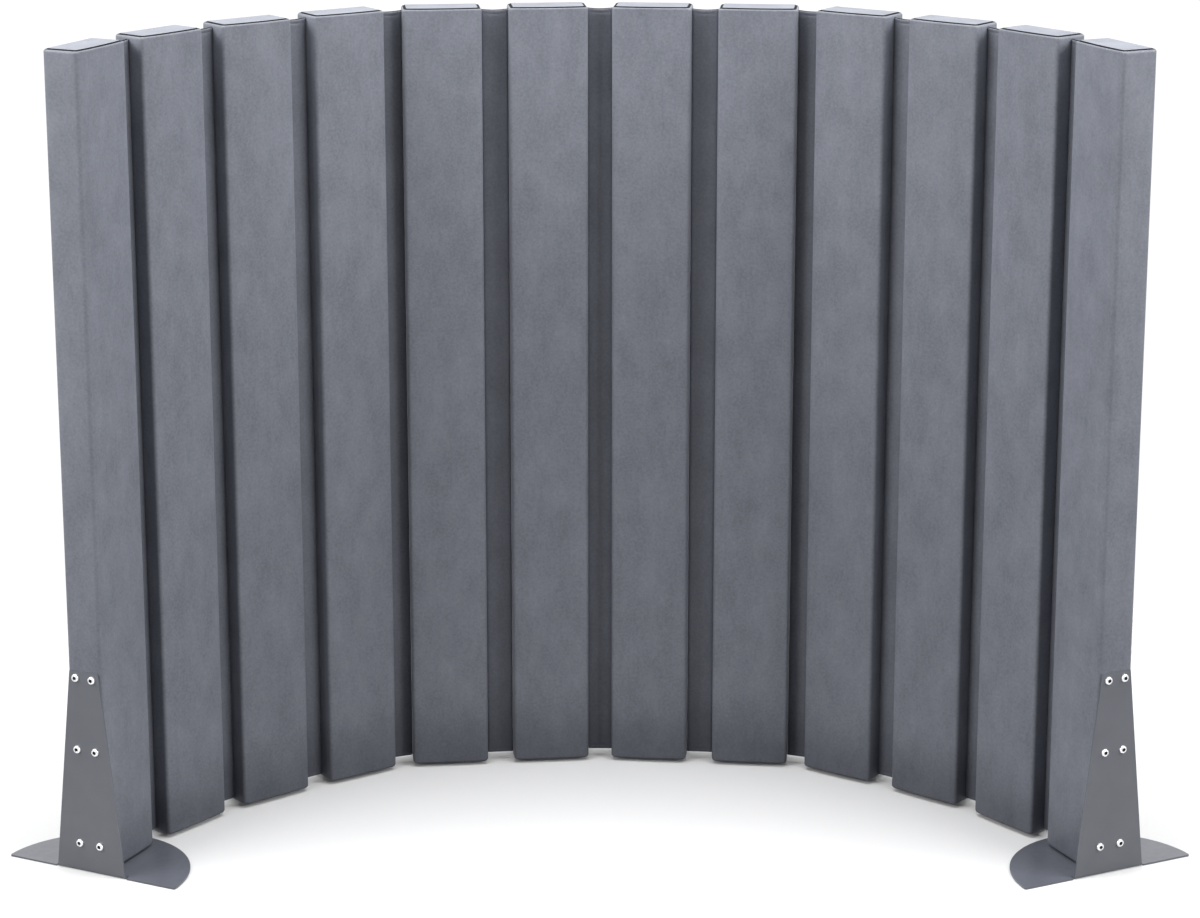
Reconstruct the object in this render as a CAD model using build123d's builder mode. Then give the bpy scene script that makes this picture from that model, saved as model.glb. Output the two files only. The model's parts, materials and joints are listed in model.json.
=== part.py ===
from build123d import *
from math import cos, radians, sin
import os

# Acoustic folding screen
# Tall upholstered columns stand side by side, joined by narrow fabric webs that fold at a
# crease along each edge. The two end columns stand on bent steel feet, screwed through the
# cover into a timber post, and the columns between them stand on small glides.
# Z is up, X runs along the screen from left to right and Y from front to back. The hollow
# side of the curve faces the front. The origin is on the floor, in the middle of the
# screen's width and depth.

# Driving sizes, in millimetres and degrees

overall_height = 1400

# Bend of each web as the screen stands, from the middle web outwards. The middle web is
# shared by both halves, so six bends make eleven webs and twelve columns.
rest_bends = (12, 0, 28, 4.5, 12.5, 13.5)

# Upholstered columns
column_width = 138
column_depth = 65
column_crown = 2.5
column_corner = 6
column_edge = 4
cover_wall = 2
core_clearance = 0.3

# Fabric webs
web_span = 48
web_thickness = 6
web_top_drop = 6
web_bottom_rise = 6
crease_gap = 0.3

# Steel feet, each cut and bent from one sheet
foot_steel = 3
foot_radius = 166
foot_tip_round = 3
foot_bend_inside = 2
foot_upright_height = 359
foot_upright_base = 136
foot_upright_top = 56
foot_upright_corner = 3
foot_relief_width = 2.5
foot_relief_depth = 8

# Gap between the foot's plate and the column above it
foot_gap = 3

# Screws that hold the feet, in three pairs. The middle pair is set at a share of the way
# from the lowest pair to the highest.
screw_top_inset = 13
screw_bottom_rise = 51
screw_middle_share = 0.57
screw_spacing_top = 32
screw_spacing_middle = 36
screw_spacing_bottom = 40
screw_radius = 4
screw_clearance = 0.4
screw_length = 25
screw_head_radius = 7
screw_head_height = 4.4
screw_head_round = 3.4
socket_flats = 5
socket_depth = 2.6

# Threaded inserts and the timber posts that hold them
insert_radius = 6
insert_fit = 0.05
thread_fit = 0.05
insert_length = 18
screw_tip_room = 3
post_thickness = 32
post_fit = 0.5

# Glides under the columns that have no foot
glide_radius = 10
glide_spacing = 80
glide_chamfer = 1

# Sizes that follow from them

half_count = len(rest_bends)
column_count = 2 * half_count
column_base = foot_steel + foot_gap
column_height = overall_height - column_base
cavity_height = column_height - 2 * cover_wall
post_depth = column_depth - 2 * cover_wall - 2 * post_fit

# A web turns about the middle of its rounded edge, just clear of the column's side
crease_offset = web_thickness / 2 + crease_gap
crease_span = web_span - 2 * crease_offset
web_base = column_base + web_bottom_rise
web_height = column_height - web_bottom_rise - web_top_drop

screw_top = foot_upright_height - screw_top_inset
screw_middle = screw_bottom_rise + screw_middle_share * (screw_top - screw_bottom_rise)
screw_rows = (
    (screw_top, screw_spacing_top),
    (screw_middle, screw_spacing_middle),
    (screw_bottom_rise, screw_spacing_bottom),
)
screw_points = [
    (side * spacing / 2, height) for height, spacing in screw_rows for side in (-1, 1)
]


def along(heading):
    """Direction in plan of a piece that has turned towards the front by heading degrees."""
    return Vector(cos(radians(heading)), -sin(radians(heading)))


def right_half():
    """Middle and heading of each column and web from the middle of the screen to the right."""
    columns = []
    webs = []
    heading = -rest_bends[0] / 2
    crease = Vector(-crease_span / 2, 0)
    for bend in rest_bends:
        heading += bend / 2
        webs.append((crease + along(heading) * (crease_span / 2), heading))
        crease += along(heading) * crease_span
        heading += bend / 2
        reach = column_width / 2 + crease_offset
        columns.append((crease + along(heading) * reach, heading))
        crease += along(heading) * (2 * reach)
    return columns, webs


def floor_plane(middle, heading, side, shift=0):
    """Plane on the floor with its X along a piece, on the right (side 1) or left (side -1)."""
    return Plane(
        origin=(side * middle.X, middle.Y + shift, 0),
        x_dir=(cos(radians(heading)), -side * sin(radians(heading)), 0),
        z_dir=(0, 0, 1),
    )


def all_planes(shift):
    """Floor planes of every column and every web, by number from the left."""
    columns, webs = right_half()
    column_planes = {}
    web_planes = {}
    for step in range(half_count):
        for side in (-1, 1):
            number = half_count + 1 + step if side == 1 else half_count - step
            column_planes[number] = floor_plane(*columns[step], side, shift)
            web_planes[half_count + side * step] = floor_plane(*webs[step], side, shift)
    return column_planes, web_planes


def end_planes(column_planes):
    """Floor planes at the outer sides of the two end columns, each with its X pointing out."""
    planes = {}
    for name, number, side in (("left", 1, -1), ("right", column_count, 1)):
        column = column_planes[number]
        out = column.x_dir * side
        middle = column.origin + out * (column_width / 2)
        planes[name] = Plane(origin=middle, x_dir=out, z_dir=(0, 0, 1))
    return planes


def side_plane(end_plane):
    """Upright plane on an end column's outer side, with its Y up and its Z pointing out."""
    out = end_plane.x_dir
    return Plane(origin=end_plane.origin, x_dir=Vector(0, 0, 1).cross(out), z_dir=out)


def column_outline(inset):
    """Plan of a column drawn in by inset: flat sides, and a crowned front and back."""
    half_width = column_width / 2 - inset
    half_depth = column_depth / 2 - inset
    crest = half_depth + column_crown
    with BuildSketch() as outline:
        with BuildLine():
            front = ThreePointArc((-half_width, -half_depth), (0, -crest), (half_width, -half_depth))
            back = ThreePointArc((half_width, half_depth), (0, crest), (-half_width, half_depth))
            Line(front @ 1, back @ 0)
            Line(back @ 1, front @ 0)
        make_face()
        fillet(outline.vertices(), column_corner - inset)
    return outline.sketch


def plate_outline():
    """Plan of a foot's plate: half a disc, with two slots that free the bend of the upright."""
    with BuildSketch() as outline:
        with BuildLine():
            rim = CenterArc((foot_steel, 0), foot_radius, 90, 180)
            Line(rim @ 1, rim @ 0)
        make_face()
        fillet(outline.vertices(), foot_tip_round)
        slot_middle = (foot_upright_base + foot_relief_width) / 2
        with Locations((foot_steel, slot_middle), (foot_steel, -slot_middle)):
            Rectangle(2 * foot_relief_depth, foot_relief_width, mode=Mode.SUBTRACT)
    return outline.sketch


cover_outline = column_outline(0)
cavity_outline = column_outline(cover_wall)
core_outline = column_outline(cover_wall + core_clearance)
foot_outline = plate_outline()


def centring_shift():
    """How far back the plan moves so that the origin is in the middle of the screen's depth."""
    column_planes, _ = all_planes(0)
    with BuildSketch(*column_planes.values()) as columns:
        add(cover_outline)
    with BuildSketch(*end_planes(column_planes).values()) as plates:
        add(foot_outline)
    boxes = [columns.sketch.bounding_box(), plates.sketch.bounding_box()]
    front = min(box.min.Y for box in boxes)
    back = max(box.max.Y for box in boxes)
    return -(front + back) / 2


column_planes, web_planes = all_planes(centring_shift())
feet = end_planes(column_planes)
end_of = {1: "left", column_count: "right"}


def build_cover(number, base):
    """Sewn cover of one column, a closed skin that the core fills."""
    with BuildPart() as cover:
        with BuildSketch(base.offset(column_base)):
            add(cover_outline)
        extrude(amount=column_height)
        levels = cover.edges().group_by(Axis.Z)
        fillet(levels[0] + levels[-1], column_edge)
        with BuildSketch(base.offset(column_base + cover_wall)):
            add(cavity_outline)
        extrude(amount=cavity_height, mode=Mode.SUBTRACT)
        if number in end_of:
            with BuildSketch(side_plane(feet[end_of[number]])):
                with Locations(*screw_points):
                    Circle(screw_radius + screw_clearance)
            extrude(amount=-cover_wall, mode=Mode.SUBTRACT)
    cover.part.label = f"column_{number:02d}_cover"
    export_step(cover.part, f"parts/{cover.part.label}.step")


def build_core(number, base):
    """Sound-absorbing foam core of one column, cut short in an end column to leave room for the post."""
    with BuildPart() as core:
        with BuildSketch(base.offset(column_base + cover_wall)):
            add(core_outline)
        extrude(amount=cavity_height - core_clearance)
        if number in end_of:
            pocket_depth = cover_wall + post_thickness + core_clearance
            with BuildSketch(feet[end_of[number]].offset(column_base + cover_wall)):
                Rectangle(2 * pocket_depth, 2 * column_depth)
            extrude(amount=cavity_height, mode=Mode.SUBTRACT)
    core.part.label = f"column_{number:02d}_core"
    export_step(core.part, f"parts/{core.part.label}.step")


def build_glides(number, base):
    """Two glides under a column that has no foot."""
    with BuildPart() as glides:
        with BuildSketch(base):
            with GridLocations(glide_spacing, glide_spacing, 2, 1):
                Circle(glide_radius)
        extrude(amount=column_base)
        chamfer(glides.edges().group_by(Axis.Z)[0], glide_chamfer)
    glides.part.label = f"column_{number:02d}_glides"
    export_step(glides.part, f"parts/{glides.part.label}.step")


def build_web(number, base):
    """Fabric web between two columns, with full round edges where it creases."""
    with BuildPart() as web:
        with BuildSketch(base.offset(web_base)):
            SlotCenterToCenter(crease_span, web_thickness)
        extrude(amount=web_height)
    web.part.label = f"web_{number:02d}"
    export_step(web.part, f"parts/{web.part.label}.step")


def build_post(name, base):
    """Timber post in an end column, bored for the inserts and the screw tips."""
    with BuildPart() as post:
        with BuildSketch(base.offset(column_base + cover_wall)) as section:
            with Locations((-cover_wall - post_thickness / 2, 0)):
                Rectangle(post_thickness, post_depth)
            fillet(section.vertices().group_by(Axis.X)[-1], column_corner - cover_wall)
        extrude(amount=cavity_height - core_clearance)
        face = side_plane(base).offset(-cover_wall)
        with BuildSketch(face):
            with Locations(*screw_points):
                Circle(insert_radius + insert_fit)
        extrude(amount=-insert_length, mode=Mode.SUBTRACT)
        tip_depth = screw_length - foot_steel - cover_wall + screw_tip_room
        with BuildSketch(face):
            with Locations(*screw_points):
                Circle(screw_radius + screw_clearance)
        extrude(amount=-tip_depth, mode=Mode.SUBTRACT)
    post.part.label = f"post_{name}"
    export_step(post.part, f"parts/{post.part.label}.step")


def build_inserts(name, base):
    """Six threaded inserts set in a post, flush with its outer face."""
    with BuildPart() as inserts:
        with BuildSketch(side_plane(base).offset(-cover_wall)):
            with Locations(*screw_points):
                Circle(insert_radius)
                Circle(screw_radius + thread_fit, mode=Mode.SUBTRACT)
        extrude(amount=-insert_length)
    inserts.part.label = f"foot_inserts_{name}"
    export_step(inserts.part, f"parts/{inserts.part.label}.step")


def build_foot(name, base):
    """Steel foot: a half disc on the floor and a tapered upright bent up from its straight edge."""
    face = side_plane(base)
    with BuildPart() as foot:
        with BuildSketch(base):
            add(foot_outline)
        extrude(amount=foot_steel)
        with BuildSketch(face) as upright:
            with BuildLine():
                Polyline(
                    (-foot_upright_base / 2, 0),
                    (foot_upright_base / 2, 0),
                    (foot_upright_top / 2, foot_upright_height),
                    (-foot_upright_top / 2, foot_upright_height),
                    close=True,
                )
            make_face()
            fillet(upright.vertices().group_by(Axis.Y)[-1], foot_upright_corner)
        extrude(amount=foot_steel)
        inside = foot.edges().sort_by_distance(base.origin + Vector(0, 0, foot_steel))[0]
        fillet(inside, foot_bend_inside)
        outside = foot.edges().sort_by_distance(base.origin + base.x_dir * foot_steel)[0]
        fillet(outside, foot_bend_inside + foot_steel)
        with BuildSketch(face):
            with Locations(*screw_points):
                Circle(screw_radius + screw_clearance)
        extrude(amount=foot_steel, mode=Mode.SUBTRACT)
    foot.part.label = f"foot_{name}"
    export_step(foot.part, f"parts/{foot.part.label}.step")


def build_screws(name, base):
    """Six button-head socket screws that hold a foot."""
    seat = side_plane(base).offset(foot_steel)
    with BuildPart() as screws:
        with BuildSketch(seat):
            with Locations(*screw_points):
                Circle(screw_head_radius)
        extrude(amount=screw_head_height)
        rims = screws.edges().group_by(Axis(seat.origin, seat.z_dir))[-1]
        fillet(rims, screw_head_round)
        with BuildSketch(seat.offset(screw_head_height)):
            with Locations(*screw_points):
                RegularPolygon(socket_flats / 2, 6, major_radius=False)
        extrude(amount=-socket_depth, mode=Mode.SUBTRACT)
        with BuildSketch(seat):
            with Locations(*screw_points):
                Circle(screw_radius)
        extrude(amount=-screw_length)
    screws.part.label = f"foot_screws_{name}"
    export_step(screws.part, f"parts/{screws.part.label}.step")


os.makedirs("parts", exist_ok=True)

for number in sorted(column_planes):
    build_cover(number, column_planes[number])
    build_core(number, column_planes[number])
    if number not in end_of:
        build_glides(number, column_planes[number])

for number in sorted(web_planes):
    build_web(number, web_planes[number])

for name, base in feet.items():
    build_post(name, base)
    build_inserts(name, base)
    build_foot(name, base)
    build_screws(name, base)
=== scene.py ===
# %% [markdown]
# Acoustic folding screen
# This lesson dresses a folding screen: twelve tall upholstered columns, the narrow fabric
# webs that join them, and two bent steel feet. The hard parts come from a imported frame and
# only get finishes. The soft parts are modelled here, because a foam block under a tight
# cover has crowned faces, rolled seams and small puckers that a plain solid doesn't have.

# %% Load the frame
import json
import math

import bmesh
import bpy
from mathutils import Matrix, Vector, noise


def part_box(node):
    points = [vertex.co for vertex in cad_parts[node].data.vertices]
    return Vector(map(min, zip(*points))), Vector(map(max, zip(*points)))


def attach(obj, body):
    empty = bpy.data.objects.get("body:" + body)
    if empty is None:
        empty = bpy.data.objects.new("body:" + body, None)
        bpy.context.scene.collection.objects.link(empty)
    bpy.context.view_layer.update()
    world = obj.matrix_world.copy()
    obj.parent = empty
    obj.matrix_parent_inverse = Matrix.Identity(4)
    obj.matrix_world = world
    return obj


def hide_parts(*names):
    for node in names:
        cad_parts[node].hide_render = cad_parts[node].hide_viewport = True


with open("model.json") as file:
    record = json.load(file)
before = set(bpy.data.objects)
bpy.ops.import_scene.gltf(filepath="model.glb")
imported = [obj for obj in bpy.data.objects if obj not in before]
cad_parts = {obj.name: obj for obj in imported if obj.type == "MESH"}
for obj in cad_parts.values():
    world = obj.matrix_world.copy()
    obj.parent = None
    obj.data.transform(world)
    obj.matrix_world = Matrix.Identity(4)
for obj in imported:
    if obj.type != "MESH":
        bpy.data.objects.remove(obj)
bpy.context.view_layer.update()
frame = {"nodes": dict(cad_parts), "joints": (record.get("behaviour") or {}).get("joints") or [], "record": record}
nodes = frame["nodes"]
joints = {joint["name"]: joint for joint in frame["joints"]}

# %% [markdown]
# Sizes
# A column is described once, in its own place: X across its width, Y through its depth with
# the front at minus Y, and Z up from its bottom. The sizes are the screen's real ones, in
# metres. The heights come from the frame, so that they can't drift from it.

# %% Sizes of the soft parts
MM = 0.001
column_width = 138 * MM
column_depth = 65 * MM
column_crown = 2.5 * MM
corner_radius = 6 * MM

column_low, column_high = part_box("column_06_cover")
column_base = column_low.z
column_height = column_high.z - column_low.z

web_low, web_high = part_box("web_06")
web_base = web_low.z
web_height = web_high.z - web_low.z
web_width = web_high.x - web_low.x
web_middle = (web_low + web_high) / 2

column_count = sum(name.endswith("_cover") for name in nodes)
web_count = column_count - 1
print("columns", column_count, "height", round(column_height, 4), "webs", web_count)


# %% [markdown]
# Places
# Every column stands between two creases, and the frame's joints say where those are. The
# line from one crease to the next is the direction of the column. An end column has only one
# crease, so its direction is the line to the middle of the foot under it, which the record
# states as a mount.


# %% Find where each column and web stands
crease_gap = 0.3 * MM


def crease(web, side):
    """Plan place of the crease on the left (-1) or right (1) edge of a web."""
    names = (f"web_{web:02d}_fold", f"web_{web:02d}_far_crease")
    spots = sorted((Vector(joints[name]["pos_m"]) for name in names), key=lambda spot: spot.x)
    spot = spots[0] if side < 0 else spots[1]
    return Vector((spot.x, spot.y, 0))


def foot_point(side):
    """Plan place of the middle of the foot on the left or right."""
    for mount in frame["record"]["mounts"]:
        if mount["name"] == f"foot_{side}_underside":
            return Vector((mount["pos_m"][0], mount["pos_m"][1], 0))


def placed(left, right, height):
    """Matrix that stands a piece midway between two places, with its X along the line between them."""
    middle = (left + right) / 2
    along = (right - left).normalized()
    turn = math.atan2(along.y, along.x)
    return Matrix.Translation((middle.x, middle.y, height)) @ Matrix.Rotation(turn, 4, "Z")


def column_place(number):
    """Matrix from a column's own place to where that column stands."""
    reach = (crease(web_count // 2 + 1, 1) - crease(web_count // 2 + 1, -1)).length
    gap = (web_width - reach) / 2 + crease_gap
    if number == 1:
        right = crease(1, -1)
        along = (right - foot_point("left")).normalized()
        left = right - along * (column_width + 2 * gap)
    elif number == column_count:
        left = crease(web_count, 1)
        along = (foot_point("right") - left).normalized()
        right = left + along * (column_width + 2 * gap)
    else:
        left = crease(number - 1, 1)
        right = crease(number, -1)
    return placed(left, right, column_base)


def web_place(number):
    """Matrix from a web's own place to where that web hangs."""
    left = crease(number, -1)
    right = crease(number, 1)
    return placed(left, right, web_base)


print("column 3 stands at", [round(v, 3) for v in column_place(3).translation])


# %% [markdown]
# Material helpers
# Each finish is a node material that reads Object coordinates. Those stay with the piece as
# it moves, and every piece is modelled in the same real place and size, so a grain of one
# millimetre is one millimetre everywhere. The helpers keep the finishes short: they make the
# shader, add noises and cells, combine numbers, give them colours and turn a height into a bump.


# %% Material helpers
def new_material(name, **settings):
    """A material with one Principled shader whose sockets are set by name."""
    material = bpy.data.materials.new(name)
    material.use_nodes = True
    shader = material.node_tree.nodes["Principled BSDF"]
    for socket, value in settings.items():
        shader.inputs[socket.replace("_", " ")].default_value = value
    return material, material.node_tree, shader


def object_coordinates(tree, stretch=(1, 1, 1)):
    """Object coordinates, drawn out or pressed together along an axis."""
    source = tree.nodes.new("ShaderNodeTexCoord")
    mapping = tree.nodes.new("ShaderNodeMapping")
    mapping.inputs["Scale"].default_value = stretch
    tree.links.new(source.outputs["Object"], mapping.inputs["Vector"])
    return mapping.outputs["Vector"]


def add_noise(tree, vector, size, detail=2.0, roughness=0.5):
    """A noise whose blots are about size metres across."""
    texture = tree.nodes.new("ShaderNodeTexNoise")
    texture.inputs["Scale"].default_value = 1 / size
    texture.inputs["Detail"].default_value = detail
    texture.inputs["Roughness"].default_value = roughness
    tree.links.new(vector, texture.inputs["Vector"])
    return texture.outputs["Fac"]


def add_cells(tree, vector, size, feature="F1"):
    """A pattern of cells about size metres across, as distances from their middles."""
    texture = tree.nodes.new("ShaderNodeTexVoronoi")
    texture.feature = feature
    texture.inputs["Scale"].default_value = 1 / size
    tree.links.new(vector, texture.inputs["Vector"])
    return texture.outputs["Distance"]


def combine(tree, operation, first, second):
    """One number from two, each a socket or a plain value."""
    node = tree.nodes.new("ShaderNodeMath")
    node.operation = operation
    for slot, value in enumerate((first, second)):
        if isinstance(value, (int, float)):
            node.inputs[slot].default_value = value
        else:
            tree.links.new(value, node.inputs[slot])
    return node.outputs["Value"]


def ramp(tree, value, stops):
    """Colours or greys along a value, from (position, colour) stops."""
    node = tree.nodes.new("ShaderNodeValToRGB")
    elements = node.color_ramp.elements
    while len(elements) < len(stops):
        elements.new(1.0)
    for element, (position, colour) in zip(elements, stops):
        element.position = position
        element.color = (*colour, 1)
    tree.links.new(value, node.inputs["Fac"])
    return node.outputs["Color"]


def add_bump(tree, height, depth, strength=1.0, under=None):
    """A bump that rises depth metres as height goes from 0 to 1."""
    node = tree.nodes.new("ShaderNodeBump")
    node.inputs["Strength"].default_value = strength
    node.inputs["Distance"].default_value = depth
    tree.links.new(height, node.inputs["Height"])
    if under is not None:
        tree.links.new(under, node.inputs["Normal"])
    return node.outputs["Normal"]


# %% [markdown]
# Coated upholstery
# The covers are a matt coated fabric in slate grey. Close up it has a fine pebbled grain of
# about a millimetre. From a step away it is cloudy: patches a few centimetres wide are a
# little lighter or darker, drawn out downwards where the cloth was rubbed and stretched.
# Near the floor painted shade makes it darker. One colour would look like plastic, so the cloud, the streaks
# and the grain each shift it.


# %% Upholstery finish
def painted_floor_shade(tree):
    """How much painted shade darkens the cloth near the floor, from 1 at the bottom to 0 at hand height."""
    split = tree.nodes.new("ShaderNodeSeparateXYZ")
    tree.links.new(object_coordinates(tree), split.inputs["Vector"])
    low = tree.nodes.new("ShaderNodeMapRange")
    low.interpolation_type = "SMOOTHSTEP"
    for socket, value in (("From Min", 0.0), ("From Max", 0.16), ("To Min", 1.0), ("To Max", 0.0)):
        low.inputs[socket].default_value = value
    tree.links.new(split.outputs["Z"], low.inputs["Value"])
    return low.outputs["Result"]


def upholstery(name, dark, light, grain_depth):
    """Matt coated fabric between a dark and a light shade."""
    material, tree, shader = new_material(
        name, Roughness=0.56, Specular_IOR_Level=0.2, Coat_Weight=0.22, Coat_Roughness=0.32
    )
    plain = object_coordinates(tree)
    drawn = object_coordinates(tree, (1, 1, 0.6))
    cloud = add_noise(tree, drawn, 45 * MM, 4.0, 0.6)
    speckle = add_noise(tree, plain, 4.5 * MM, 5.0, 0.65)
    streak = add_noise(tree, object_coordinates(tree, (1, 1, 0.14)), 8 * MM, 2.0, 0.5)
    mixed = combine(tree, "MULTIPLY", cloud, 0.42)
    mixed = combine(tree, "ADD", mixed, combine(tree, "MULTIPLY", speckle, 0.5))
    mixed = combine(tree, "ADD", mixed, combine(tree, "MULTIPLY", streak, 0.08))
    colour = ramp(tree, mixed, ((0.3, dark), (0.7, light)))
    # Painted shade: the colour is multiplied darker towards the floor.
    floor_shaded = tree.nodes.new("ShaderNodeMix")
    floor_shaded.data_type = "RGBA"
    floor_shaded.blend_type = "MULTIPLY"
    tree.links.new(painted_floor_shade(tree), floor_shaded.inputs["Factor"])
    tree.links.new(colour, floor_shaded.inputs["A"])
    floor_shaded.inputs["B"].default_value = (0.6, 0.6, 0.62, 1)
    tree.links.new(floor_shaded.outputs["Result"], shader.inputs["Base Color"])
    sheen = ramp(tree, speckle, ((0.3, (0.52, 0.52, 0.52)), (0.7, (0.68, 0.68, 0.68))))
    tree.links.new(sheen, shader.inputs["Roughness"])
    pebbles = add_cells(tree, plain, 1.1 * MM, "SMOOTH_F1")
    soft = add_bump(tree, cloud, 0.9 * MM, 0.5)
    creased = add_bump(tree, speckle, 0.4 * MM, 0.7, soft)
    grained = add_bump(tree, pebbles, grain_depth, 0.7, creased)
    tree.links.new(grained, shader.inputs["Normal"])
    return material


def seam_shade_finish():
    """Painted shade: a black ribbed finish for the seam between side and panel, where shade falls."""
    material, tree, shader = new_material("black_painted_seam_shade", Roughness=0.9, Specular_IOR_Level=0.15)
    rib = add_noise(tree, object_coordinates(tree), 1.5 * MM, 2.0)
    colour = ramp(tree, rib, ((0.3, (0.008, 0.008, 0.01)), (0.7, (0.02, 0.02, 0.024))))
    tree.links.new(colour, shader.inputs["Base Color"])
    tree.links.new(add_bump(tree, rib, 0.2 * MM, 0.6), shader.inputs["Normal"])
    return material


# Painted shade: a black finish for seams, rim bands, bottom edge bands and web hems.
seam_shade_material = seam_shade_finish()
cover_material = upholstery("slate_upholstery", (0.15, 0.16, 0.189), (0.272, 0.287, 0.332), 0.12 * MM)
# Painted shade: the webs get a darker copy of the cover fabric, standing in for the shade in the recesses.
shaded_web_material = upholstery("slate_web", (0.112, 0.12, 0.144), (0.2, 0.211, 0.248), 0.1 * MM)

# %% [markdown]
# Powder coat, screws and glides
# The feet are sheet steel under a satin powder coat, which has a very fine orange peel and
# no grain. The screws are bright zinc-plated steel with faint turning marks. The glides are
# black moulded plastic.


# %% Hard finishes
def powder_coat():
    """Satin powder coat with a fine orange peel."""
    material, tree, shader = new_material(
        "slate_powder_coat", Roughness=0.4, Specular_IOR_Level=0.5, Coat_Weight=0.6, Coat_Roughness=0.2
    )
    plain = object_coordinates(tree)
    cloud = add_noise(tree, plain, 60 * MM, 2.0, 0.5)
    colour = ramp(tree, cloud, ((0.3, (0.112, 0.12, 0.144)), (0.7, (0.126, 0.134, 0.16))))
    tree.links.new(colour, shader.inputs["Base Color"])
    rough = ramp(tree, add_noise(tree, plain, 12 * MM), ((0.3, (0.36,) * 3), (0.7, (0.45,) * 3)))
    tree.links.new(rough, shader.inputs["Roughness"])
    peel = add_bump(tree, add_noise(tree, plain, 1.6 * MM, 1.0, 0.4), 0.05 * MM, 0.5)
    tree.links.new(peel, shader.inputs["Normal"])
    return material


def bright_steel():
    """Zinc-plated steel with faint marks left by turning."""
    material, tree, shader = new_material("bright_zinc", Metallic=1.0, Roughness=0.26)
    plain = object_coordinates(tree)
    tone = add_noise(tree, plain, 3 * MM, 3.0, 0.6)
    colour = ramp(tree, tone, ((0.3, (0.72, 0.73, 0.75)), (0.7, (0.88, 0.88, 0.9))))
    tree.links.new(colour, shader.inputs["Base Color"])
    rough = ramp(tree, tone, ((0.3, (0.2,) * 3), (0.7, (0.34,) * 3)))
    tree.links.new(rough, shader.inputs["Roughness"])
    marks = add_bump(tree, add_noise(tree, plain, 0.7 * MM, 2.0), 0.03 * MM, 0.4)
    tree.links.new(marks, shader.inputs["Normal"])
    return material


def moulded_plastic():
    """Black plastic with the fine texture of its mould."""
    material, tree, shader = new_material("black_glide", Roughness=0.6)
    plain = object_coordinates(tree)
    tone = add_noise(tree, plain, 4 * MM, 3.0)
    colour = ramp(tree, tone, ((0.3, (0.018, 0.018, 0.02)), (0.7, (0.035, 0.035, 0.038))))
    tree.links.new(colour, shader.inputs["Base Color"])
    texture = add_bump(tree, add_cells(tree, plain, 0.5 * MM), 0.04 * MM, 0.5)
    tree.links.new(texture, shader.inputs["Normal"])
    return material


foot_material = powder_coat()
screw_material = bright_steel()
glide_material = moulded_plastic()

# %% [markdown]
# Hidden materials
# Foam cores, timber posts and brass inserts are closed in by the covers. They still get real
# finishes, so that the screen can be opened up in a cutaway: open-cell foam, planed softwood
# with its rings stretched along the post, and turned brass.


# %% Finishes of the inner parts
def foam():
    """Pale open-cell foam with fine pores."""
    material, tree, shader = new_material("open_cell_foam", Roughness=0.95)
    plain = object_coordinates(tree)
    tone = add_noise(tree, plain, 8 * MM, 3.0, 0.6)
    colour = ramp(tree, tone, ((0.3, (0.56, 0.56, 0.54)), (0.7, (0.66, 0.66, 0.64))))
    tree.links.new(colour, shader.inputs["Base Color"])
    pores = add_bump(tree, add_cells(tree, plain, 1.2 * MM), 0.3 * MM, 0.6)
    tree.links.new(pores, shader.inputs["Normal"])
    return material


def timber():
    """Planed softwood with its grain along the post."""
    material, tree, shader = new_material("planed_softwood", Roughness=0.62)
    grain = add_noise(tree, object_coordinates(tree, (1, 1, 0.05)), 7 * MM, 4.0, 0.6)
    rings = ((0.32, (0.33, 0.2, 0.1)), (0.5, (0.52, 0.35, 0.19)), (0.7, (0.64, 0.47, 0.29)))
    colour = ramp(tree, grain, rings)
    tree.links.new(colour, shader.inputs["Base Color"])
    tree.links.new(add_bump(tree, grain, 0.3 * MM, 0.5), shader.inputs["Normal"])
    return material


def brass():
    """Turned brass."""
    material, tree, shader = new_material("turned_brass", Metallic=1.0, Roughness=0.32)
    tone = add_noise(tree, object_coordinates(tree), 2 * MM, 3.0)
    colour = ramp(tree, tone, ((0.3, (0.55, 0.38, 0.14)), (0.7, (0.72, 0.53, 0.24))))
    tree.links.new(colour, shader.inputs["Base Color"])
    return material


foam_material = foam()
timber_material = timber()
brass_material = brass()


# %% Dress the frame's nodes, also those that a modelled piece stands for later
def dress(node, material):
    """Gives a frame node one material."""
    mesh = nodes[node].data
    mesh.materials.clear()
    mesh.materials.append(material)


for name in nodes:
    if name.endswith("_cover"):
        dress(name, cover_material)
    elif name.endswith("_core"):
        dress(name, foam_material)
    elif name.endswith("_glides"):
        dress(name, glide_material)
    elif name.startswith("web_"):
        dress(name, shaded_web_material)
    elif name.startswith("post_"):
        dress(name, timber_material)
    elif name.startswith("foot_screws"):
        dress(name, screw_material)
    elif name.startswith("foot_inserts"):
        dress(name, brass_material)
    elif name.startswith("foot_"):
        dress(name, foot_material)

# %% [markdown]
# The upholstered column
# A column is a foam block in a tight box cover. It could be a box with a bevel and a bump,
# but then its outline would be dead straight. Instead a block is cut into fine rings and
# each point is moved: the front and back swell a little, the four long edges are rounded,
# the ends are rolled over, and small puckers run away from the seams. The bottom corners are
# rounder than the top ones, because the cover is pulled down over them. The foam core lies
# only 2.3 mm inside the plain cover, so rolls and dips must stay small or it would show.

# %% Sizes of the cover's details
top_roll = 4.5 * MM
top_roll_front = 2.8 * MM
bottom_roll = 6 * MM
bottom_roll_front = 4 * MM
seam_inset = 0.8 * MM
seam_width = 1.6 * MM
seam_depth = 0.3 * MM
panel_rise = 1.2 * MM
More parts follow.
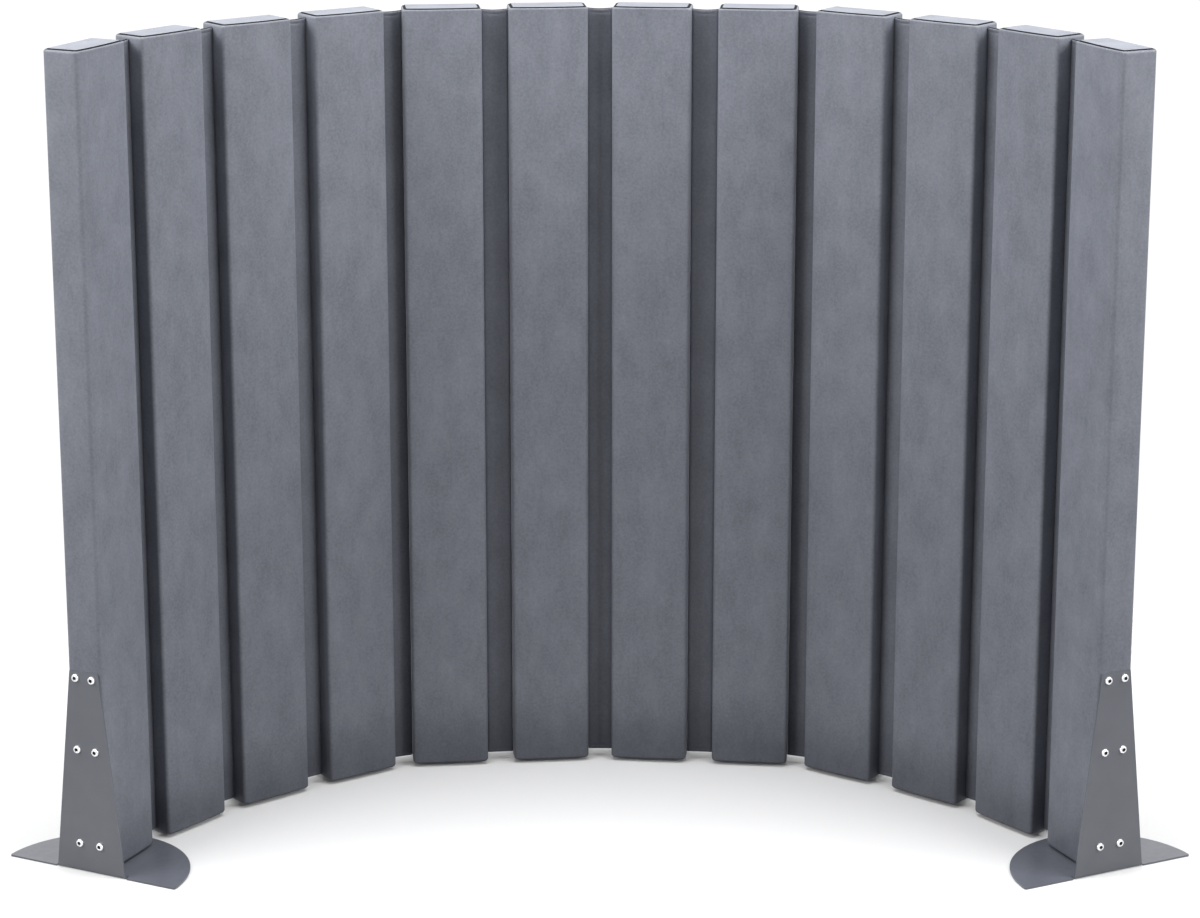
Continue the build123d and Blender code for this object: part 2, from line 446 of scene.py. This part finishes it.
# Painted shade: the seam groove, a band at the top of the rim and a band at the bottom edge are painted black.
seam_shade_level = 0.6 * MM
bottom_seam_shade_level = 1.4 * MM
panel_margin = 2 * MM
seam_shade_slot = 1
rim_height = column_height - panel_rise
swell_power = 2.4
swell_at_ends = 0.65
swell_reach = 60 * MM
seam_dip = 0.4 * MM
dip_reach = 30 * MM
bottom_dip_share = 0.3
pucker_depth = 0.3 * MM
pucker_reach = 60 * MM
pucker_size = (11 * MM, 11 * MM, 60 * MM)
wave_depth = 0.35 * MM
wave_size = (50 * MM, 50 * MM, 160 * MM)
tolerance = 1e-6


# %% Make the block of one column
def cut_levels(height):
    """Heights of the rings: close together in the rolled ends and even between them."""
    ends = [mm * MM for mm in (0.6, 1.4, 2.4, 3.6, 5.0, 7.0, 9.5, 13, 18, 25, 34, 45)]
    levels = ends + [height - end for end in ends]
    step = 14 * MM
    inner = height - 2 * ends[-1]
    count = round(inner / step)
    levels += [ends[-1] + inner * index / count for index in range(1, count)]
    return sorted(levels)


def cut(mesh, place, normal):
    """Cuts the whole mesh by a plane, which adds a ring of points."""
    everything = mesh.verts[:] + mesh.edges[:] + mesh.faces[:]
    bmesh.ops.bisect_plane(mesh, geom=everything, plane_co=place, plane_no=normal, dist=tolerance)


def column_block():
    """A block with rounded long edges, cut into rings up its height and across its faces."""
    mesh = bmesh.new()
    bmesh.ops.create_cube(mesh, size=1.0)
    bmesh.ops.scale(mesh, vec=(column_width, column_depth, rim_height), verts=mesh.verts)
    bmesh.ops.translate(mesh, vec=(0, 0, rim_height / 2), verts=mesh.verts)
    upright = [edge for edge in mesh.edges if abs(edge.verts[0].co.z - edge.verts[1].co.z) > rim_height / 2]
    bmesh.ops.bevel(
        mesh, geom=upright, offset=corner_radius, offset_type="OFFSET", affect="EDGES", segments=4,
        profile=0.5, material=-1
    )
    for side in (-1, 1):
        for share in (0.0, 0.2, 0.4, 0.6, 0.78):
            if side < 0 or share > 0:
                cut(mesh, (side * share * column_width / 2, 0, 0), (1, 0, 0))
        for share in (0.0, 0.45):
            if side < 0 or share > 0:
                cut(mesh, (0, side * share * column_depth / 2, 0), (0, 1, 0))
    for level in cut_levels(rim_height):
        cut(mesh, (0, 0, level), (0, 0, 1))
    return mesh


def end_faces(mesh, level):
    """The faces that close the block at a level."""
    return [face for face in mesh.faces if all(abs(vert.co.z - level) < tolerance for vert in face.verts)]


def sew_end(mesh, level, rise):
    """Sews a panel into one end: a rim ring, groove and step painted black as shade, and a panel that stands rise
    above the rim.
    """
    panel = end_faces(mesh, level)
    steps = (
        (seam_inset, 0, seam_shade_slot),
        (seam_width / 2, -seam_depth, seam_shade_slot),
        (seam_width / 2, seam_depth + rise, seam_shade_slot),
        (panel_margin, 0, 0),
    )
    for thickness, depth, slot in steps:
        margin = bmesh.ops.inset_region(
            mesh, faces=panel, thickness=thickness, depth=depth, use_even_offset=True, use_boundary=True
        )["faces"]
        for face in margin:
            face.material_index = slot
    # Painted shade: the band just under the rim and the band at the bottom edge also get the black finish.
    for face in mesh.faces:
        low = min(vert.co.z for vert in face.verts)
        high = max(vert.co.z for vert in face.verts)
        at_top = rim_height - seam_shade_level - tolerance < low < rim_height + tolerance
        at_bottom = high < bottom_seam_shade_level + tolerance
        if (at_top or at_bottom) and abs(face.normal.z) < 0.5:
            face.material_index = seam_shade_slot


# %% [markdown]
# Shaping the block
# Each rule below moves the points of the block a little. Rolling an end over is a quarter
# circle: at a height below the roll's radius the section draws in. The rules work on the
# column's own place, before the copies are stood where they belong.


# %% Rules that shape the cover
def roll(height, radius):
    """How far a section draws in at a height above the end of a rolled edge."""
    if height >= radius:
        return 0.0
    rest = radius - max(height, 0.0)
    return radius - math.sqrt(max(radius * radius - rest * rest, 0.0))


def fade(value, reach):
    """1 at 0, falling smoothly to 0 at reach."""
    share = min(max(value / reach, 0.0), 1.0)
    return 1 - share * share * (3 - 2 * share)


def noise_at(place, size):
    """Smooth noise between -1 and 1 whose blots measure size along X, Y and Z."""
    return noise.noise(Vector([spot / length for spot, length in zip(place, size)]))


def shape_point(point, seed):
    """Where a point of the block goes on the finished cover."""
    x, y, z = point
    half_width = column_width / 2
    half_depth = column_depth / 2
    across = min(abs(x) / half_width, 1.0)
    through = min(abs(y) / half_depth, 1.0)
    from_top = rim_height - z
    from_end = min(z, from_top)
    # the faces swell, less near the sewn ends
    fullness = swell_at_ends + (1 - swell_at_ends) * (1 - fade(from_end, swell_reach))
    swell = column_crown * (1 - across ** swell_power) * fullness
    y_new = y + math.copysign(swell * through, y) if y else y
    # the ends are rolled over, further at the bottom corners
    side_in = roll(z, bottom_roll) + roll(from_top, top_roll)
    front_in = roll(z, bottom_roll_front) + roll(from_top, top_roll_front)
    x_new = x * (1 - side_in / half_width)
    y_new = y_new * (1 - front_in / half_depth)
    # the sewn ends dip between their corners
    dip = seam_dip * (1 - across ** 2) * fade(from_end, dip_reach)
    z_new = z - dip if from_top < z else z + bottom_dip_share * dip
    # long soft waves, and short puckers near the seams; each column reads its own part of the noise
    place = Vector((x + seed * 3.7, y + seed * 1.9, z))
    push = wave_depth * noise_at(place, wave_size) * (1 - fade(from_end, 20 * MM))
    pucker = pucker_depth * noise_at(place, pucker_size) * fade(from_end, pucker_reach)
    push += pucker * (1 - fade(from_end, 4 * MM))
    y_new += math.copysign(push * through, y) * (1 - across ** 6)
    return Vector((x_new, y_new, z_new))


def finish_mesh(mesh, name, material, smooth=True):
    """Turns a bmesh into an object at the origin, with its faces pointing out."""
    bmesh.ops.remove_doubles(mesh, verts=mesh.verts, dist=tolerance)
    bmesh.ops.recalc_face_normals(mesh, faces=mesh.faces)
    data = bpy.data.meshes.new(name)
    mesh.to_mesh(data)
    mesh.free()
    data.materials.append(material)
    for polygon in data.polygons:
        polygon.use_smooth = smooth
    piece = bpy.data.objects.new(name, data)
    bpy.context.scene.collection.objects.link(piece)
    return piece


# %% Make the twelve covers
for number in range(1, column_count + 1):
    block = column_block()
    block.normal_update()
    sew_end(block, rim_height, panel_rise)
    sew_end(block, 0.0, 0.0)
    for vert in block.verts:
        vert.co = shape_point(vert.co, number)
    bmesh.ops.transform(block, matrix=column_place(number), verts=block.verts)
    cover = finish_mesh(block, f"column_{number:02d}_upholstery", cover_material)
    cover.data.materials.append(seam_shade_material)
    body = f"column_{number:02d}"
    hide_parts(f"{body}_cover")
    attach(cover, body)
print("cover points", len(cover.data.vertices))

# %% [markdown]
# The webs
# A web is a narrow strip of the same fabric over a thin wadding, sewn into the side seams of
# two columns. Its edges dive into the seams and its middle swells, which is why it looks
# like a flattened tube. Its top hem is turned over and hangs a little lower in the middle. Its
# copy of the fabric is painted darker, as shade in the recess between the columns.

# %% Sizes of a web
web_edge = 3 * MM
web_swell = 1.6 * MM
hem_height = 7 * MM
hem_pinch = 0.7 * MM
hem_sag = 2 * MM
hem_roll = 2.2 * MM
hem_reach = 25 * MM
hem_shade_depth = 0.7 * MM
least_thickness = 0.2 * MM
ripple_depth = 0.25 * MM
web_cuts = (0.25, 0.5, 0.72, 0.86, 0.92, 0.96, 0.99)


# %% Make the webs
def web_thickness(across):
    """Half the thickness of a web at a share of the way from its middle to its edge."""
    edge = math.sqrt(max(1 - max((across - 0.86) / 0.14, 0) ** 2, 0))
    return (web_edge + web_swell * (1 - across ** 2)) * edge


def web_strip(seed):
    """A web in its own place: X from seam to seam, front at minus Y, Z up from its hem."""
    mesh = bmesh.new()
    half = web_width / 2
    bmesh.ops.create_cube(mesh, size=1.0)
    bmesh.ops.scale(mesh, vec=(web_width, 2 * web_edge, web_height), verts=mesh.verts)
    bmesh.ops.translate(mesh, vec=(0, 0, web_height / 2), verts=mesh.verts)
    for share in sorted([-share for share in web_cuts] + [0, *web_cuts]):
        cut(mesh, (share * half, 0, 0), (1, 0, 0))
    for level in cut_levels(web_height):
        cut(mesh, (0, 0, level), (0, 0, 1))
    for level in (hem_height - MM, hem_height, hem_height + MM):
        cut(mesh, (0, 0, level), (0, 0, 1))
        cut(mesh, (0, 0, web_height - level), (0, 0, 1))
    # Painted shade: the top cap of the hem gets the black finish.
    for face in mesh.faces:
        in_hem_shade = min(vert.co.z for vert in face.verts) > web_height - hem_shade_depth
        face.material_index = seam_shade_slot if in_hem_shade else 0
    for vert in mesh.verts:
        x, y, z = vert.co
        across = min(abs(x) / half, 1.0)
        from_top = web_height - z
        from_end = min(z, from_top)
        thickness = web_thickness(across)
        thickness -= hem_pinch * fade(abs(from_end - hem_height), 2.5 * MM) * (1 - across)
        thickness -= roll(from_end, hem_roll)
        ripple = ripple_depth * noise.noise(Vector((x / 0.02 + seed * 5.1, seed, z / 0.12)))
        sag = hem_sag * (1 - across ** 2) * fade(from_end, hem_reach)
        y_new = math.copysign(max(thickness, least_thickness), y) + ripple * (1 - across)
        z_new = z - sag if from_top < z else z + 0.4 * sag
        vert.co = (x, y_new, z_new)
    return mesh


for number in range(1, web_count + 1):
    strip = web_strip(number)
    bmesh.ops.transform(strip, matrix=web_place(number), verts=strip.verts)
    web = finish_mesh(strip, f"web_{number:02d}_fabric", shaded_web_material)
    web.data.materials.append(seam_shade_material)
    body = f"web_{number:02d}"
    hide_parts(body)
    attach(web, body)
print("web points", len(web.data.vertices))

# %% [markdown]
# Screws
# Six button-head screws hold each foot. From the front each one is a bright ring with a dark
# hexagon socket. A plain dome would lose that, so the profile of one screw is spun round its
# axis, the wall of its socket is reshaped into a hexagon, and the socket gets a dark finish:
# painted shade for its hollow. Their places are measured from the foot in the frame.


# %% Screw finish and sizes
def painted_socket_shade():
    """Painted shade: dark steel for the walls and floor of a socket, where shade falls in the hollow."""
    material, tree, shader = new_material("painted_socket_shade", Metallic=0.6, Roughness=0.5)
    tone = add_noise(tree, object_coordinates(tree), 1.5 * MM, 3.0)
    colour = ramp(tree, tone, ((0.3, (0.012, 0.012, 0.014)), (0.7, (0.03, 0.03, 0.034))))
    tree.links.new(colour, shader.inputs["Base Color"])
    return material


socket_shade_material = painted_socket_shade()
screw_rows = ((51 * MM, 40 * MM), (219.15 * MM, 36 * MM), (346 * MM, 32 * MM))
head_radius = 7 * MM
head_height = 4.4 * MM
shank_radius = 4 * MM
shank_length = 25 * MM
socket_reach = 2.7 * MM
socket_floor = 1.4 * MM
rim_radius = 3.9 * MM
head_edge = 0.7 * MM
socket_wall = 3.1 * MM
socket_slot = 1


# %% Spin one screw
def screw_profile():
    """Half the outline of a screw, as (distance from the axis, height) from its end to its socket."""
    points = [(0, -shank_length), (shank_radius, -shank_length), (shank_radius, 0), (head_radius, 0)]
    points.append((head_radius, head_edge))
    for index in range(1, 7):
        angle = math.radians(15 * index)
        radius = rim_radius + (head_radius - rim_radius) * math.cos(angle)
        points.append((radius, head_edge + (head_height - head_edge) * math.sin(angle)))
    points += [(3.3 * MM, head_height - 0.15 * MM), (socket_wall, head_height - 0.5 * MM)]
    points += [(socket_wall, socket_floor), (0, socket_floor - 0.4 * MM)]
    return points


def one_screw():
    """A screw along X, with its head at plus X and its seat at the origin."""
    mesh = bmesh.new()
    verts = [mesh.verts.new((height, radius, 0)) for radius, height in screw_profile()]
    edges = [mesh.edges.new(pair) for pair in zip(verts, verts[1:])]
    bmesh.ops.spin(
        mesh, geom=verts + edges, cent=(0, 0, 0), axis=(1, 0, 0), angle=2 * math.pi, steps=36, use_merge=True
    )
    bmesh.ops.remove_doubles(mesh, verts=mesh.verts, dist=1e-7)
    for vert in mesh.verts:
        radius = math.hypot(vert.co.y, vert.co.z)
        if vert.co.x > socket_floor - 0.1 * MM and 2.9 * MM < radius < 3.2 * MM:
            angle = math.degrees(math.atan2(vert.co.z, vert.co.y))
            turn = (angle + 30) % 60 - 30
            stretch = socket_reach / math.cos(math.radians(turn)) / radius
            vert.co.y *= stretch
            vert.co.z *= stretch
    # Painted shade: the faces inside the socket get the dark socket finish.
    for face in mesh.faces:
        middle = face.calc_center_median()
        inside = math.hypot(middle.y, middle.z) < 3.05 * MM
        face.material_index = socket_slot if inside and 0 < middle.x < head_height - 0.3 * MM else 0
    return mesh


# %% Set the screws in the feet
def foot_frame(side):
    """Seat point on the outer face of the upright, and the directions outwards and to the front."""
    number = 1 if side == "left" else column_count
    turn = column_place(number).to_3x3()
    outward = turn @ Vector((-1 if side == "left" else 1, 0, 0))
    front = turn @ Vector((0, -1, 0))
    corners = [vert.co for vert in nodes[f"foot_{side}"].data.vertices]
    seat = max(corner.dot(outward) for corner in corners)
    spread = [corner.dot(front) for corner in corners]
    middle = (min(spread) + max(spread)) / 2
    return outward * seat + front * middle, outward, front


for side, body in (("left", "column_01"), ("right", f"column_{column_count:02d}")):
    seat, outward, front = foot_frame(side)
    turn = Matrix((outward, front, outward.cross(front))).transposed().to_4x4()
    screws = bmesh.new()
    for height, spacing in screw_rows:
        for share in (-0.5, 0.5):
            single = one_screw()
            spot = seat + front * (share * spacing) + Vector((0, 0, height))
            twist = Matrix.Rotation(math.radians(17 * share + height * 900), 4, "X")
            bmesh.ops.transform(single, matrix=Matrix.Translation(spot) @ turn @ twist, verts=single.verts)
            part = bpy.data.meshes.new("one_screw")
            single.to_mesh(part)
            single.free()
            screws.from_mesh(part)
            bpy.data.meshes.remove(part)
    piece = finish_mesh(screws, f"foot_screw_heads_{side}", screw_material)
    piece.data.materials.append(socket_shade_material)
    piece.data.set_sharp_from_angle(angle=math.radians(35))
    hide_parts(f"foot_screws_{side}")
    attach(piece, body)
    print(side, "screw points", len(piece.data.vertices))

# %% [markdown]
# Floor, light and camera
# The screen stands on a plain white floor that fades into a white sky. A wide soft light hangs
# overhead, and two pairs of soft lights at the sides cross their beams, so that each column
# is lit from the far side and the recesses between the columns stay dark. One light at the
# camera would flatten them. The camera is a long lens above head height, tipped a little
# down. Sliding the lens a little keeps the columns nearly upright.

# %% Floor
floor_radius = 3.2
floor_mesh = bmesh.new()
bmesh.ops.create_circle(floor_mesh, cap_ends=True, segments=96, radius=floor_radius)
floor_material, floor_tree, floor_shader = new_material("studio_floor", Roughness=0.9, Emission_Strength=0.02)
floor_shader.inputs["Base Color"].default_value = (0.8, 0.8, 0.8, 1)
floor_shader.inputs["Emission Color"].default_value = (1, 1, 1, 1)
distance = floor_tree.nodes.new("ShaderNodeVectorMath")
distance.operation = "LENGTH"
floor_tree.links.new(object_coordinates(floor_tree), distance.inputs[0])
fading = floor_tree.nodes.new("ShaderNodeMapRange")
fading.interpolation_type = "SMOOTHSTEP"
fading.inputs["From Min"].default_value = 0.95
fading.inputs["From Max"].default_value = 1.9
floor_tree.links.new(distance.outputs["Value"], fading.inputs["Value"])
clear = floor_tree.nodes.new("ShaderNodeBsdfTransparent")
faded = floor_tree.nodes.new("ShaderNodeMixShader")
floor_tree.links.new(fading.outputs["Result"], faded.inputs["Fac"])
floor_tree.links.new(floor_shader.outputs["BSDF"], faded.inputs[1])
floor_tree.links.new(clear.outputs["BSDF"], faded.inputs[2])
floor_tree.links.new(faded.outputs["Shader"], floor_tree.nodes["Material Output"].inputs["Surface"])
floor = finish_mesh(floor_mesh, "studio_floor", floor_material, smooth=False)
floor.visible_diffuse = False

# %% Sky
world = bpy.data.worlds.new("studio_sky")
bpy.context.scene.world = world
world.use_nodes = True
sky = world.node_tree
background = sky.nodes["Background"]
background.inputs["Color"].default_value = (1, 1, 1, 1)
background.inputs["Strength"].default_value = 0.16
seen = sky.nodes.new("ShaderNodeBackground")
seen.inputs["Color"].default_value = (1, 1, 1, 1)
seen.inputs["Strength"].default_value = 1.05
choose = sky.nodes.new("ShaderNodeMixShader")
path = sky.nodes.new("ShaderNodeLightPath")
either = combine(sky, "MAXIMUM", path.outputs["Is Camera Ray"], path.outputs["Is Glossy Ray"])
sky.links.new(either, choose.inputs["Fac"])
sky.links.new(background.outputs["Background"], choose.inputs[1])
sky.links.new(seen.outputs["Background"], choose.inputs[2])
sky.links.new(choose.outputs["Shader"], sky.nodes["World Output"].inputs["Surface"])


# %% Lights
def soft_light(name, place, aim, width, height, power):
    """A rectangular soft light that points at a spot."""
    data = bpy.data.lights.new(name, "AREA")
    data.shape = "RECTANGLE"
    data.size = width
    data.size_y = height
    data.energy = power
    lamp = bpy.data.objects.new(name, data)
    lamp.location = place
    lamp.rotation_euler = (Vector(aim) - Vector(place)).to_track_quat("-Z", "Y").to_euler()
    bpy.context.scene.collection.objects.link(lamp)
    return lamp


soft_light("top_light", (0, 0.3, 4.0), (0, 0.3, 0), 4.0, 3.0, 195)
for side in (-1, 1):
    soft_light(f"side_light_{side + 2}", (3.4 * side, -2.7, 2.6), (-0.6 * side, 0, 1.0), 1.6, 1.6, 72)
    soft_light(f"flank_light_{side + 2}", (3.6 * side, -0.9, 2.8), (-0.9 * side, 0, 1.2), 1.6, 1.6, 70)

# %% Camera
photo_width = 1200
photo_height = 918
focal_pixels = 3142
axis_row = 340
camera_distance = 5.4977
camera_height = 2.130
camera_pitch = 13.67

camera_data = bpy.data.cameras.new("photo_camera")
camera_data.sensor_width = 36
camera_data.lens = focal_pixels / photo_width * camera_data.sensor_width
camera_data.shift_y = (axis_row - photo_height / 2) / photo_width
camera = bpy.data.objects.new("photo_camera", camera_data)
camera.location = (0, web_middle.y - camera_distance, camera_height)
camera.rotation_euler = (math.radians(90 - camera_pitch), 0, 0)
bpy.context.scene.collection.objects.link(camera)
bpy.context.scene.camera = camera
bpy.context.scene.view_settings.view_transform = "Standard"
